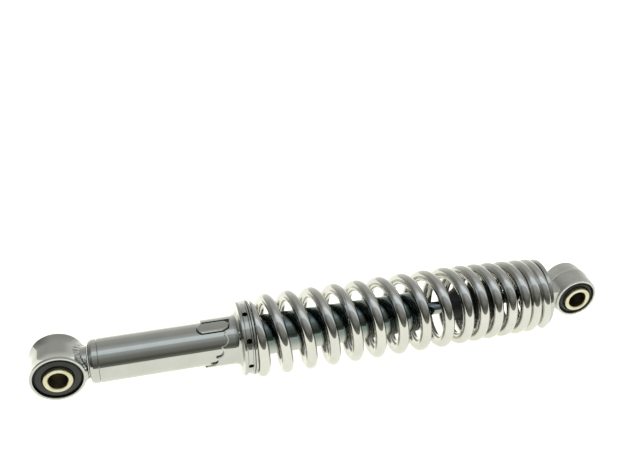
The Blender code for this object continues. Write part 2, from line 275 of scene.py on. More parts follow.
def plastic():
    """Moulded black plastic, a little smoother than the rubber."""
    n = MaterialNodes("black_plastic")
    grain = n.noise(1800.0, 3.0, 0.5)
    tint = n.mix(n.noise(200.0), (0.02, 0.02, 0.022), (0.035, 0.035, 0.037))
    return n.finish(tint, n.remap(grain, 0.3, 0.7, 0.32, 0.46), n.bump(grain, 0.1, 0.0001))


def machined(name, colour, dark, low, high):
    """Turned or ground metal with marks that run around it. Low and high are its range of roughness."""
    n = MaterialNodes(name, metallic=1.0)
    turning = n.noise(1.0, 3.0, 0.6, n.stretched((4200.0, 60.0, 60.0)))
    cloud = n.noise(120.0, 4.0, 0.6)
    tint = n.mix(n.remap(cloud, 0.35, 0.7), colour, dark)
    return n.finish(tint, n.remap(turning, 0.3, 0.7, low, high), n.bump(turning, 0.1, 0.00005))


def steel_painted_reflection(name, dark, less_dark, bright, gloss):
    """Smooth steel with a painted reflection set by height: blue-black on its upper side and bright
    underneath, standing in for the dark coils above and the pale floor below.
    """
    fade_start, fade_end, wander = -3.0 * MM, 6.0 * MM, 4.0 * MM
    n = MaterialNodes(name, metallic=1.0)
    cloud = n.noise(60.0, 4.0, 0.6)
    lines = n.noise(1.0, 3.0, 0.6, n.stretched((900.0, 60.0, 60.0)))
    top = n.mix(n.remap(cloud, 0.35, 0.7), dark, less_dark)
    height = n.math("ADD", n.parts(n.place)["Z"], n.math("MULTIPLY", cloud, wander))
    tint = n.mix(n.remap(height, fade_start, fade_end), bright, top)
    return n.finish(tint, n.remap(lines, 0.3, 0.7, gloss, gloss + 0.07), n.bump(lines, 0.008, 0.00005))


def painted_highlight_finish(name, bright, dull):
    """Pale, barely metallic finish with a painted highlight: it looks pale from every side, standing in for
    the light that plated edges and faces catch.
    """
    n = MaterialNodes(name, metallic=0.25)
    cloud = n.noise(700.0, 4.0, 0.6)
    tint = n.mix(n.remap(cloud, 0.35, 0.65), bright, dull)
    return n.finish(tint, n.remap(cloud, 0.3, 0.7, 0.3, 0.5), n.bump(cloud, 0.1, 0.0001))


def shade_painted_bore():
    """Painted shade for the inside of a sleeve: dark brown-black, where little light reaches."""
    n = MaterialNodes("sleeve_bore_painted_shade", metallic=0.8)
    cloud = n.noise(300.0, 4.0, 0.6)
    tint = n.mix(n.remap(cloud, 0.3, 0.7), (0.060, 0.048, 0.022), (0.11, 0.095, 0.045))
    return n.finish(tint, n.remap(cloud, 0.3, 0.7, 0.38, 0.55), n.bump(cloud, 0.15, 0.0001))


def crevice():
    """Painted shade for narrow grooves and holes: near-black, where little light reaches."""
    n = MaterialNodes("joint_shadow", metallic=0.6)
    tint = n.mix(n.noise(900.0), (0.010, 0.010, 0.010), (0.035, 0.032, 0.028))
    return n.finish(tint, n.remap(n.noise(1500.0), 0.3, 0.7, 0.5, 0.7))


MATERIALS = {
    "chrome": polished(
        "chrome", (0.462, 0.468, 0.446), (0.430, 0.436, 0.413),
        gloss=0.035, haze=0.04, ripple=0.02, scratch_scale=(60.0, 2600.0, 2600.0),
    ),
    "spring_chrome": polished(
        "spring_chrome", (0.570, 0.566, 0.538), (0.525, 0.522, 0.494),
        gloss=0.035, haze=0.04, ripple=0.03, scratch_scale=(1500.0, 1500.0, 1500.0),
    ),
    "cast_aluminium": cast_metal(),
    "zinc_yellow": zinc(),
    "black_rubber": rubber(),
    "steel": machined("steel", (0.42, 0.42, 0.43), (0.30, 0.30, 0.31), 0.22, 0.38),
    # The rod and the tube inside the spring: painted reflection, dark on top and bright underneath.
    "ground_rod": steel_painted_reflection(
        "ground_rod", (0.15, 0.18, 0.20), (0.20, 0.23, 0.25), (0.44, 0.45, 0.44), gloss=0.06,
    ),
    "bronze": machined("bronze", (0.55, 0.36, 0.16), (0.42, 0.26, 0.11), 0.25, 0.40),
    "black_plastic": plastic(),
    "joint_shadow": crevice(),
    # Pale finishes for the collar's edge, its step faces and the upper eye's front: painted highlight.
    "edge_painted_highlight": painted_highlight_finish("edge_painted_highlight", (0.80, 0.80, 0.77), (0.62, 0.62, 0.59)),
    "step_face": painted_highlight_finish("step_face", (0.46, 0.46, 0.43), (0.28, 0.28, 0.26)),
    "inner_tube": steel_painted_reflection(
        "inner_tube", (0.11, 0.145, 0.14), (0.17, 0.205, 0.20), (0.42, 0.43, 0.41), gloss=0.05,
    ),
    "sleeve_bore_painted_shade": shade_painted_bore(),
}


# --------------------------------------------------------- turned pieces


TINY = 1e-7
FILLET_SHARE = 0.48  # the most of a side that one fillet may use
FILLET_SEGMENTS = 5
SHARP_EDGE = math.radians(32.0)


def soften(corners):
    """Round a closed profile of (along, radius, fillet) corners.

    Gives the points, and each point's normal towards the side before it and the side after it.
    """
    ring = [(c[0], c[1], c[2] if len(c) > 2 else 0.0) for c in corners]
    area = sum(ring[i - 1][0] * ring[i][1] - ring[i][0] * ring[i - 1][1] for i in range(len(ring)))
    if area < 0:
        ring.reverse()
    points, before, after = [], [], []
    for i, (a, r, fillet) in enumerate(ring):
        here = np.array((a, r))
        back = np.array(ring[i - 1][:2]) - here
        on = np.array(ring[(i + 1) % len(ring)][:2]) - here
        back_length, on_length = np.linalg.norm(back), np.linalg.norm(on)
        back, on = back / back_length, on / on_length
        into = np.array((-back[1], back[0]))
        out = np.array((on[1], -on[0]))
        half = math.acos(max(-1.0, min(1.0, float(back @ on)))) / 2
        longest = FILLET_SHARE * min(back_length, on_length)
        reach = min(fillet / max(math.tan(half), 1e-6), longest)
        if fillet <= 0 or reach < 1e-4:
            points.append(here)
            before.append(into)
            after.append(out)
            continue
        start, end = here + back * reach, here + on * reach
        for k in range(FILLET_SEGMENTS + 1):
            s = k / FILLET_SEGMENTS
            points.append(start * (1 - s) ** 2 + here * 2 * s * (1 - s) + end * s * s)
            tangent = (here - start) * (1 - s) + (end - here) * s
            tangent = tangent / np.linalg.norm(tangent)
            normal = np.array((tangent[1], -tangent[0]))
            before.append(normal)
            after.append(normal)
    return np.array(points), np.array(before), np.array(after)


# Per axis: its direction, the directions of angle 0 and 90 degrees, and whether they are left-handed.
AXES = {
    "X": (Vector((1, 0, 0)), Vector((0, -1, 0)), Vector((0, 0, 1)), True),
    "Y": (Vector((0, 1, 0)), Vector((0, 0, 1)), Vector((1, 0, 0)), False),
}


def add_object(name, mesh):
    obj = bpy.data.objects.new(name, mesh)
    bpy.context.scene.collection.objects.link(obj)
    return obj


def add_piece(name, mesh, material):
    obj = add_object(name, mesh)
    mesh.materials.append(MATERIALS[material])
    return obj


def turned(name, corners, material, axis="X", centre=(0.0, 0.0, 0.0), steps=160, shift=None):
    """A piece of revolution with exact normals. shift(along, angle) may move its points along the axis."""
    points, before, after = soften(corners)
    along, first, second, mirrored = AXES[axis]
    centre = Vector(centre)
    verts, index = [], []
    for i, (a, r) in enumerate(points):
        row = []
        for j in range(1 if abs(r) < TINY else steps):
            angle = math.tau * j / steps
            out = first * math.cos(angle) + second * math.sin(angle)
            shifted = a if shift is None else shift(a, angle)
            verts.append((centre + along * shifted + out * r) * MM)
            row.append(len(verts) - 1)
        index.append(row * (steps if len(row) == 1 else 1))
    faces, normals = [], []
    count = len(points)
    for i in range(count):
        k = (i + 1) % count
        if abs(points[i][1]) < TINY and abs(points[k][1]) < TINY:
            continue
        for j in range(steps):
            m = (j + 1) % steps
            corner = [(index[row][column], row, column) for row, column in ((i, j), (k, j), (k, m), (i, m))]
            if mirrored:
                corner.reverse()
            kept = [c for n, c in enumerate(corner) if c[0] != corner[n - 1][0]]
            faces.append([c[0] for c in kept])
            for _, row, column in kept:
                angle = math.tau * column / steps
                out = first * math.cos(angle) + second * math.sin(angle)
                side = after[row] if row == i else before[row]
                normals.append(along * float(side[0]) + out * float(side[1]))
    mesh = bpy.data.meshes.new(name)
    mesh.from_pydata(verts, [], faces)
    mesh.shade_smooth()
    if shift is None:
        mesh.normals_split_custom_set(normals)
    else:
        mesh.set_sharp_from_angle(angle=SHARP_EDGE)
    return add_piece(name, mesh, material)


def stand_for(piece, node, body):
    """Let a finished piece stand for one CAD node and ride on one body."""
    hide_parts(node)
    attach(piece, body)
    return piece


def add_turned(name, corners, material, node, body, **options):
    return stand_for(turned(name, corners, material, **options), node, body)


def finish_where(obj, material, test):
    """Give one more finish to the faces whose centre, in millimetres, passes the test."""
    obj.data.materials.append(MATERIALS[material])
    number = len(obj.data.materials) - 1
    for face in obj.data.polygons:
        if test(face.center / MM):
            face.material_index = number


def evaluated_mesh(obj):
    graph = bpy.context.evaluated_depsgraph_get()
    return bpy.data.meshes.new_from_object(obj.evaluated_get(graph), depsgraph=graph)


def tool_object(name, shape, material):
    """Turn a finished bmesh into an object for a cut or a join."""
    mesh = bpy.data.meshes.new(name)
    shape.to_mesh(mesh)
    shape.free()
    mesh.materials.append(MATERIALS[material])
    return add_object(name, mesh)


def combine(obj, tools, operation):
    """Cut or join the tools into obj and leave the result as its plain mesh."""
    for tool in tools:
        step = obj.modifiers.new(tool.name, "BOOLEAN")
        step.operation = operation
        step.solver = "EXACT"
        step.object = tool
    mesh = evaluated_mesh(obj)
    obj.modifiers.clear()
    obj.data = mesh
    for tool in tools:
        bpy.data.objects.remove(tool, do_unlink=True)
    return obj


ALONG = np.array((1.0, 0.0, 0.0))
# How far a corner may lie from the profile, how well its face's normal must agree with the profile's
# (as a cosine), and what a poor agreement costs, in millimetres, when several places are near.
ROUND_MISS = 0.03
ROUND_AGREE = 0.9
ROUND_TURN_COST = 0.2


def exact_round_normals(obj, corners):
    """After a cut, give the faces turned round X their true normals again. The new faces keep their own."""
    points, before, after = soften(corners)
    mesh = obj.data
    mesh.shade_smooth()
    mesh.set_sharp_from_angle(angle=SHARP_EDGE)
    co = np.array([v.co for v in mesh.vertices], float) / MM
    face_normals = np.array([p.normal for p in mesh.polygons], float)
    loop_vertex = np.zeros(len(mesh.loops), int)
    mesh.loops.foreach_get("vertex_index", loop_vertex)
    loop_face = np.repeat(np.arange(len(mesh.polygons)), [p.loop_total for p in mesh.polygons])
    place = co[loop_vertex]
    a = place[:, 0]
    radial = place - np.outer(a, ALONG)
    r = np.linalg.norm(radial, axis=1)
    out = radial / np.maximum(r, 1e-9)[:, None]
    flat = face_normals[loop_face]
    flat_a = flat[:, 0]
    flat_r = np.einsum("ij,ij->i", flat, out)
    best = np.full(len(a), np.inf)
    normals = np.zeros((len(a), 3))
    for i in range(len(points)):
        k = (i + 1) % len(points)
        start, run = points[i], points[k] - points[i]
        length = float(run @ run)
        share = np.clip(((a - start[0]) * run[0] + (r - start[1]) * run[1]) / max(length, 1e-12), 0, 1)
        miss = np.hypot(a - start[0] - share * run[0], r - start[1] - share * run[1])
        side = after[i] * (1 - share[:, None]) + before[k] * share[:, None]
        side /= np.linalg.norm(side, axis=1)[:, None]
        agree = side[:, 0] * flat_a + side[:, 1] * flat_r
        score = miss + (1 - agree) * ROUND_TURN_COST
        good = (miss < ROUND_MISS) & (agree > ROUND_AGREE) & (score < best)
        best[good] = score[good]
        normals[good] = np.outer(side[good, 0], ALONG) + side[good, 1][:, None] * out[good]
    mesh.normals_split_custom_set([tuple(n) for n in normals])


# ------------------------------------------------------ blended pieces


GRID_CELL = 0.42
GRID_PARTS = 12
PULL_ROUNDS = 8


def smooth_min(first, second, width):
    """The smaller of two distance fields, with a fillet of about the width where they meet."""
    share = np.clip(0.5 + 0.5 * (second - first) / width, 0.0, 1.0)
    return second + (first - second) * share - width * share * (1.0 - share)


def smooth_max(first, second, width):
    return -smooth_min(-first, -second, width)


def rounded_block(place, centre, half, corner):
    """Distance to a block with half sizes and a corner radius."""
    inside = np.abs(place - np.array(centre)) - np.array(half) + corner
    outer = np.linalg.norm(np.maximum(inside, 0.0), axis=1)
    return outer + np.minimum(inside.max(axis=1), 0.0) - corner


def field_gradient(field, place, step=0.02):
    parts = []
    for axis in range(3):
        move = np.zeros(3)
        move[axis] = step
        parts.append((field(place + move) - field(place - move)) / (2 * step))
    return np.stack(parts, axis=1)


def blended(name, field, low, high, material):
    """The closed surface where a distance field is zero, meshed on a grid and pulled exactly onto it."""
    cell = GRID_CELL
    low = np.array(low, float)
    counts = np.ceil((np.array(high, float) - low) / cell).astype(int) + 1
    axes = [low[k] + cell * np.arange(counts[k]) for k in range(3)]
    grid = np.stack(np.meshgrid(*axes, indexing="ij"), axis=-1).reshape(-1, 3)
    values = np.concatenate([field(part) for part in np.array_split(grid, GRID_PARTS)]).reshape(counts)
    inside = values < 0
    sums = np.zeros((*(counts - 1), 3))
    hits = np.zeros(counts - 1)
    for axis in range(3):
        for da in (0, 1):
            for db in (0, 1):
                offset = [0, 0, 0]
                others = [k for k in range(3) if k != axis]
                offset[others[0]], offset[others[1]] = da, db
                first = tuple(slice(offset[k], offset[k] + counts[k] - 1) for k in range(3))
                ahead = [offset[k] + (k == axis) for k in range(3)]
                second = tuple(slice(ahead[k], ahead[k] + counts[k] - 1) for k in range(3))
                v0, v1 = values[first], values[second]
                crossing = (v0 < 0) != (v1 < 0)
                share = np.where(crossing, v0 / np.where(crossing, v0 - v1, 1.0), 0.0)
                point = np.zeros((*(counts - 1), 3))
                for k in range(3):
                    point[..., k] = offset[k] + (share if k == axis else 0.0)
                sums += point * crossing[..., None]
                hits += crossing
    used = hits > 0
    index = -np.ones(counts - 1, int)
    index[used] = np.arange(used.sum())
    cells = np.argwhere(used)
    verts = low + cell * (cells + sums[used] / hits[used][:, None])
    faces = []
    for axis in range(3):
        others = [k for k in range(3) if k != axis]
        lower = [slice(1, counts[k] - 1) for k in range(3)]
        lower[axis] = slice(0, counts[axis] - 1)
        upper = list(lower)
        upper[axis] = slice(1, counts[axis])
        a, b = inside[tuple(lower)], inside[tuple(upper)]
        changed = np.argwhere(a != b)
        start_inside = a[a != b]
        base = changed.copy()
        for k in others:
            base[:, k] += 1
        quads = []
        for da, db in ((-1, -1), (0, -1), (0, 0), (-1, 0)):
            move = np.zeros(3, int)
            move[others[0]], move[others[1]] = da, db
            spot = base + move
            quads.append(index[spot[:, 0], spot[:, 1], spot[:, 2]])
        quads = np.stack(quads, axis=1)
        turn = start_inside if axis != 1 else ~start_inside
        quads[~turn] = quads[~turn][:, ::-1]
        faces.append(quads)
    for _ in range(PULL_ROUNDS):
        slope = field_gradient(field, verts)
        pull = field(verts) / np.maximum((slope * slope).sum(axis=1), 0.05)
        verts = verts - np.clip(pull, -0.5 * cell, 0.5 * cell)[:, None] * slope
    normals = field_gradient(field, verts, 0.05)
    normals /= np.maximum(np.linalg.norm(normals, axis=1), 1e-9)[:, None]
    mesh = bpy.data.meshes.new(name)
    mesh.from_pydata((verts * MM).tolist(), [], np.concatenate(faces).tolist())
    mesh.shade_smooth()
    mesh.normals_split_custom_set_from_vertices(normals.tolist())
    return add_piece(name, mesh, material)


# ------------------------------------------------------------- lower eye

LOWER_LIP = 16.7
LOWER_WAIST = 15.8
LOWER_BORE = 14.9
LOWER_HALF = 11.6
NECK_RADIUS = 10.2
NECK_END = 18.2
NECK_START = 6.0
FLARE_START = 4.0
FLARE_END = 10.3
FLARE_SLOPE = 0.97  # brings the flared barrel's field back to true distances
BEAD_RADIUS = 1.55
BEAD_RIPPLE = 0.16
BEAD_RIPPLES = 26.0
BEAD_START = 4.0


def lower_eye_field(place):
    """Barrel with flared lips, short neck, and the rippled weld bead between the two."""
    x, y, z = place[:, 0], np.abs(place[:, 1]), place[:, 2]
    ring = np.hypot(x, z)
    flare = np.clip((y - FLARE_START) / (FLARE_END - FLARE_START), 0.0, 1.0)
    outer = LOWER_WAIST + (LOWER_LIP - LOWER_WAIST) * flare * flare
    barrel = (ring - outer) * FLARE_SLOPE
    neck_side = np.hypot(place[:, 1], z) - NECK_RADIUS
    neck = smooth_max(neck_side, x - NECK_END, 0.4)
    neck = np.maximum(neck, NECK_START - x)
    around = np.arctan2(z, place[:, 1])
    ripple = BEAD_RADIUS + BEAD_RIPPLE * np.sin(around * BEAD_RIPPLES + 1.5 * np.sin(around * 3.0))
    bead = np.hypot(barrel, neck_side) - ripple
    bead = np.maximum(bead, BEAD_START - x)
    solid = smooth_min(smooth_max(barrel, y - LOWER_HALF, 0.7), neck, 0.8)
    solid = smooth_min(solid, bead, 0.35)
    solid = np.maximum(solid, x - NECK_END)
    return smooth_max(solid, LOWER_BORE - ring, 0.4)


lower_eye = blended(
    "lower_eye_ring_chromed", lower_eye_field, (-17.5, -12.3, -17.5), (18.9, 12.3, 17.5), "chrome",
)
stand_for(lower_eye, "lower_eye_ring", "damper_body")

# ---------------------------------------------------------------- bushes

UPPER_X = 340.0
BOLT_BORE = 6.0
SLEEVE_RADIUS = 8.75
SLEEVE_CHAMFER_IN = 0.45
SLEEVE_CHAMFER_OUT = 0.35


def both_ends(far_end):
    """A closed profile that is alike at both ends, from the corners of its far end, bore first."""
    return [(-along, radius, fillet) for along, radius, fillet in far_end] + far_end[::-1]


def add_bush(end, x, rubber_radius, rubber_half, sleeve_half, body):
    """The rubber bush, slightly crowned between its steel sleeve and the eye, and the sleeve itself."""
    inner = SLEEVE_RADIUS + 0.05
    profile = both_ends([
        (rubber_half - 1.1, inner, 0.2), (rubber_half + 0.1, inner + 1.2, 0.7),
        (rubber_half - 0.1, rubber_radius - 1.6, 0.8), (rubber_half - 1.4, rubber_radius, 0.4),
    ])
    add_turned(
        f"{end}_bush_moulded", profile, "black_rubber", f"{end}_bush_rubber", body,
        axis="Y", centre=(x, 0.0, 0.0),
    )
    profile = both_ends([
        (sleeve_half - SLEEVE_CHAMFER_IN, BOLT_BORE, 0.1), (sleeve_half, BOLT_BORE + SLEEVE_CHAMFER_IN, 0.1),
        (sleeve_half, SLEEVE_RADIUS - SLEEVE_CHAMFER_OUT, 0.15),
        (sleeve_half - SLEEVE_CHAMFER_OUT, SLEEVE_RADIUS, 0.15),
    ])
    sleeve = add_turned(
        f"{end}_sleeve_plated", profile, "zinc_yellow", f"{end}_bush_sleeve", f"{end}_sleeve",
        axis="Y", centre=(x, 0.0, 0.0),
    )
    # The bore: painted shade.
    finish_where(sleeve, "sleeve_bore_painted_shade", lambda p: math.hypot(p.x - x, p.z) < BOLT_BORE + 0.1)


add_bush("lower", 0.0, rubber_radius=14.75, rubber_half=11.0, sleeve_half=13.2, body="damper_body")
add_bush("upper", UPPER_X, rubber_radius=12.5, rubber_half=12.2, sleeve_half=14.4, body="rod_and_eye")

# ----------------------------------------------------------- damper tube

TUBE_RADIUS = 13.75
TUBE_BORE = 12.5
TUBE_STEPS = 240
TUBE_MOUTH = 10.2
TUBE_ROLL = 1.2
END_CAP_RADIUS = 13.65
END_CAP_SPIGOT = TUBE_BORE - 0.3
END_CAP_HOLLOW = 9.0
END_CAP_FLOOR = 2.5
JOINT_GAP = 0.25
tube_start, tube_end, _ = span("reservoir_tube")
end_cap_start, end_cap_end, _ = span("bottom_end_cap")
add_turned(
    "bottom_end_cap_turned",
    [
        (end_cap_start, 0.0), (end_cap_start, 10.6, 0.2), (end_cap_start + 0.5, 12.6, 1.6),
        (end_cap_start + 2.6, END_CAP_RADIUS, 1.8), (tube_start - JOINT_GAP, END_CAP_RADIUS, 0.25),
        (tube_start - JOINT_GAP, END_CAP_SPIGOT, 0.1), (end_cap_end, END_CAP_SPIGOT, 0.2),
        (end_cap_end, END_CAP_HOLLOW, 0.2), (end_cap_end - END_CAP_FLOOR, END_CAP_HOLLOW, 0.2),
        (end_cap_end - END_CAP_FLOOR, 0.0),
    ],
    "chrome", "bottom_end_cap", "damper_body",
)

LUG_COUNT = 2
LUG_ANGLE = 81.0
LUG_START = 85.3
LUG_END = 104.9
LUG_LENGTH = LUG_END - LUG_START
LUG_WIDTH = 6.8
LUG_FOOT = 13.0
LUG_TOP = 15.4
LUG_EDGE = 0.6
GROOVE_WIDTH = 0.5
GROOVE_DEPTH = 0.3
GROOVE_TOOL_SPARE = 3.0
GROOVE_TOOL_LOW, GROOVE_TOOL_HIGH = 9.0, 17.0
INNER_START = 118.5
INNER_STEP = 0.8
INNER_RADIUS = 12.95


def obround_tool(name, material, length, width, low, high, rounding=0.0, steps=20):
    """A slot-shaped block that stands on Z, from one height above the shock's axis to another."""
    outline = []
    radius = width / 2
    for side in (1, -1):
        for k in range(steps + 1):
            angle = math.radians(180.0 * k / steps - 90.0)
            reach = length / 2 - radius + radius * math.cos(angle)
            outline.append((side * reach, side * radius * math.sin(angle)))
    shape = bmesh.new()
    corners = [shape.verts.new((x * MM, y * MM, low * MM)) for x, y in outline]
    face = shape.faces.new(corners)
    raised = bmesh.ops.extrude_face_region(shape, geom=[face])
    lifted = [v for v in raised["geom"] if isinstance(v, bmesh.types.BMVert)]
    bmesh.ops.translate(shape, verts=lifted, vec=(0.0, 0.0, (high - low) * MM))
    bmesh.ops.recalc_face_normals(shape, faces=shape.faces)
    if rounding:
        top = [e for e in shape.edges if all(v.co.z > (high - 0.01) * MM for v in e.verts)]
        bmesh.ops.bevel(
            shape, geom=top, offset=rounding * MM, segments=4, profile=0.5, affect="EDGES",
            clamp_overlap=True,
        )
    return tool_object(name, shape, material)


def stand_on_tube(obj, number):
    """Turn and move a block to where one lug stands."""
    angle = math.radians(LUG_ANGLE + 360.0 / LUG_COUNT * number)
    obj.rotation_euler = (math.pi / 2 - angle, 0.0, 0.0)
    obj.location = ((LUG_START + LUG_END) / 2 * MM, 0.0, 0.0)
    return obj


def lug_groove(number):
    """The shallow dark channel round one lug, as a cutting tool."""
    start, end = LUG_START - GROOVE_TOOL_SPARE, LUG_END + GROOVE_TOOL_SPARE
    low, high = TUBE_RADIUS - GROOVE_DEPTH, TUBE_RADIUS + 1.0
    corners = [(start, low), (start, high), (end, high), (end, low)]
    channel = turned(f"groove_{number}", corners, "joint_shadow", steps=TUBE_STEPS)
    outline = obround_tool(
        f"groove_outline_{number}", "joint_shadow", LUG_LENGTH + 2 * GROOVE_WIDTH,
        LUG_WIDTH + 2 * GROOVE_WIDTH, GROOVE_TOOL_LOW, GROOVE_TOOL_HIGH,
    )
    return combine(channel, [stand_on_tube(outline, number)], "INTERSECT")


def add_tube():
    """The damper's outer tube: bright and full-sized up to the collar, thinner inside the spring, where it
    has a painted reflection, dark on top and bright underneath.
    """
    corners = [
        (tube_start, TUBE_BORE, 0.1), (tube_start, TUBE_RADIUS, 0.25), (INNER_START, TUBE_RADIUS, 0.2),
        (INNER_START + INNER_STEP, INNER_RADIUS, 0.2), (tube_end, INNER_RADIUS, 1.3),
        (tube_end, TUBE_MOUTH, 0.3), (tube_end - TUBE_ROLL, TUBE_MOUTH, 0.2),
        (tube_end - TUBE_ROLL, TUBE_BORE, 0.2),
    ]
    tube = turned("reservoir_tube_chromed", corners, "chrome", steps=TUBE_STEPS)
    # Cut faces of the lug grooves: painted shade.
    tube.data.materials.append(MATERIALS["joint_shadow"])
    combine(tube, [lug_groove(number) for number in range(LUG_COUNT)], "DIFFERENCE")
    lugs = []
    for number in range(LUG_COUNT):
        lug = obround_tool(f"lug_{number}", "chrome", LUG_LENGTH, LUG_WIDTH, LUG_FOOT, LUG_TOP, LUG_EDGE)
        lugs.append(stand_on_tube(lug, number))
    combine(tube, lugs, "UNION")
    # Inside the spring: painted reflection, dark on top and bright underneath.
    finish_where(tube, "inner_tube", lambda p: p.x > INNER_START - 0.1)
    exact_round_normals(tube, corners)
    stand_for(tube, "reservoir_tube", "damper_body")


add_tube()

# ---------------------------------------------------------- cam collar

COLLAR_BORE = 14.05
COLLAR_RADIUS = 15.3
COLLAR_FACE = 117.6
COLLAR_RIM = 23.7
COLLAR_BAND = COLLAR_RIM - 0.9
COLLAR_STEPS = 480
FIRST_SEAT = 105.7
# Angle of each preload seat and crest, and how far it lies beyond the first seat, towards the lower eye.
SEATS = [(81.0, 0.0), (43.0, 3.1), (14.5, 6.3), (-14.0, 9.7), (-42.5, 12.7)]
CRESTS = [
    (100.0, 1.2), (64.0, 3.9), (28.0, 7.0), (0.0, 10.8), (-28.0, 14.6), (-57.0, 17.4), (-80.0, 17.4),
]
SEAT_CUP = 4.1
CAM_REPEAT = 180.0
TONGUE_WALL = -80.0
HOLE_COUNT = 8
HOLE_ANGLE = 78.9
HOLE_RADIUS = 1.65
HOLE_X = 114.95
HOLE_TOOL_LENGTH = 9.0
# The profile's edge is drawn at this place, and its points within reach are shifted to where the cam is
# at each angle.
EDGE = 100.0
EDGE_REACH = 1.2
EDGE_CHAMFER = 0.75
# How far behind the stepped edge the painted highlight reaches.
EDGE_HIGHLIGHT_BAND = 0.8


def ramp_edge(degrees):
    """Where the collar's stepped edge is at an angle: a slope with a round cup for each preload seat."""
    turn = (degrees - TONGUE_WALL) % CAM_REPEAT + TONGUE_WALL
    if turn > SEATS[0][0]:
        return FIRST_SEAT
    angles, crests = zip(*reversed(CRESTS))
    drop = float(np.interp(turn, angles, crests))
    for angle, depth in SEATS:
        aside = abs(math.radians(turn - angle)) * COLLAR_RADIUS
        if aside < SEAT_CUP:
            drop = min(drop, depth + SEAT_CUP - math.sqrt(SEAT_CUP * SEAT_CUP - aside * aside))
    return FIRST_SEAT - drop


def wrench_hole(number):
    """One radial hole for the hook wrench, as a cutting tool."""
    angle = math.radians(HOLE_ANGLE + 360.0 / HOLE_COUNT * number)
    outward = Vector((0.0, -math.cos(angle), math.sin(angle)))
    turn = outward.to_track_quat("Z", "Y").to_matrix().to_4x4()
    turn.translation = outward * (COLLAR_RIM * MM) + Vector((HOLE_X * MM, 0.0, 0.0))
    shape = bmesh.new()
    bmesh.ops.create_cone(
        shape, cap_ends=True, segments=32, depth=HOLE_TOOL_LENGTH * MM, matrix=turn,
        radius1=HOLE_RADIUS * MM, radius2=HOLE_RADIUS * MM,
    )
    return tool_object(f"hole_{number}", shape, "joint_shadow")


def add_collar():
    """The preload collar: two stepped cams, a flare, and a rim with a recessed band of wrench holes."""
    corners = [
        (EDGE, COLLAR_BORE), (EDGE, COLLAR_RADIUS - EDGE_CHAMFER, 0.1),
        (EDGE + EDGE_CHAMFER, COLLAR_RADIUS, 0.15), (107.4, COLLAR_RADIUS + 0.1, 2.0), (109.4, 16.1, 3.0),
        (110.8, 18.0, 2.0), (111.2, 20.6, 0.8), (111.2, COLLAR_RIM, 1.4), (113.1, COLLAR_RIM, 0.5),
        (113.6, COLLAR_BAND, 0.3), (116.3, COLLAR_BAND, 0.3), (116.6, COLLAR_RIM, 0.3),
        (COLLAR_FACE, COLLAR_RIM, 0.4), (COLLAR_FACE, COLLAR_BORE, 0.2),
    ]

    def shift(along, angle):
        return ramp_edge(math.degrees(angle)) + along - EDGE if along < EDGE + EDGE_REACH else along

    def behind_edge(p):
        return p.x - ramp_edge(math.degrees(math.atan2(p.z, -p.y)))

    def on_edge(p):
        return 0.05 <= behind_edge(p) < EDGE_HIGHLIGHT_BAND and math.hypot(p.y, p.z) > COLLAR_BORE + 0.25

    collar = turned("preload_collar_chromed", corners, "chrome", steps=COLLAR_STEPS, shift=shift)
    # Walls of the wrench holes: painted shade.
    collar.data.materials.append(MATERIALS["joint_shadow"])
    combine(collar, [wrench_hole(number) for number in range(HOLE_COUNT)], "DIFFERENCE")
    # The collar's step faces and the band behind its edge: painted highlight.
    finish_where(collar, "step_face", lambda p: behind_edge(p) < 0.05)
    finish_where(collar, "edge_painted_highlight", on_edge)
    exact_round_normals(collar, corners)
    stand_for(collar, "preload_cam_collar", "preload_collar")


add_collar()

# -------------------------------------------------------------- spring

SPRING_MEAN = 22.5
SPRING_END_MEAN = 20.6
TAPER_START = 8.5
WIRE = 3.75
SPRING_START = 123.5
SPRING_TURNS = 15.39
SPRING_START_ANGLE = 101.0
WIDE_PITCH = 15.13
TIGHT_PITCH = 9.95
CLOSED_PITCH = 6.2
# (turns from the lower end, pitch)
PITCH_KNOTS = [
    (0.0, 0.0), (0.38, 0.0), (0.48, WIDE_PITCH), (8.11, WIDE_PITCH), (10.01, TIGHT_PITCH),
    (13.91, TIGHT_PITCH), (14.31, CLOSED_PITCH), (SPRING_TURNS, CLOSED_PITCH),
]
SEAT_GROUND = 119.5
CAP_GROUND = 315.1
# The tips of the first and last turn are bent towards the seat and the cap.
LOW_TIP_TURNS = 0.32
LOW_TIP_POWER = 1.6
LOW_TIP_SHIFT = 5.2
HIGH_TIP_TURNS = 0.7
HIGH_TIP_POWER = 1.5
HIGH_TIP_SHIFT = 3.4
TIP_ROUNDING = 0.4
TIP_LENGTH = 0.35
# (turns from the lower end, shift): the coils lean off square at the front and at the top, and sag
# towards the upper end.
FRONT_LEAN = [(0.6, 0.0), (1.6, 1.4), (7.0, 1.6), (9.0, 2.2), (13.5, 2.4), (14.6, 0.0)]
TOP_LEAN = [(2.0, 0.0), (6.0, 1.1), (9.0, 2.3), (13.5, 2.6), (14.6, 0.4)]
SAG = [(10.0, 0.0), (14.8, 1.1)]
# The wire is cut in two at this place along the shock; the turns above the cut ride on the damper body.
SPRING_SPLIT = 178.0
STEPS_PER_TURN = 72
FINE_STEPS = 8
WIRE_SEGMENTS = 28


def at_turns(turns, knots):
    """A value that changes along the wire, from its (turns, value) knots."""
    return np.interp(turns, *zip(*knots))


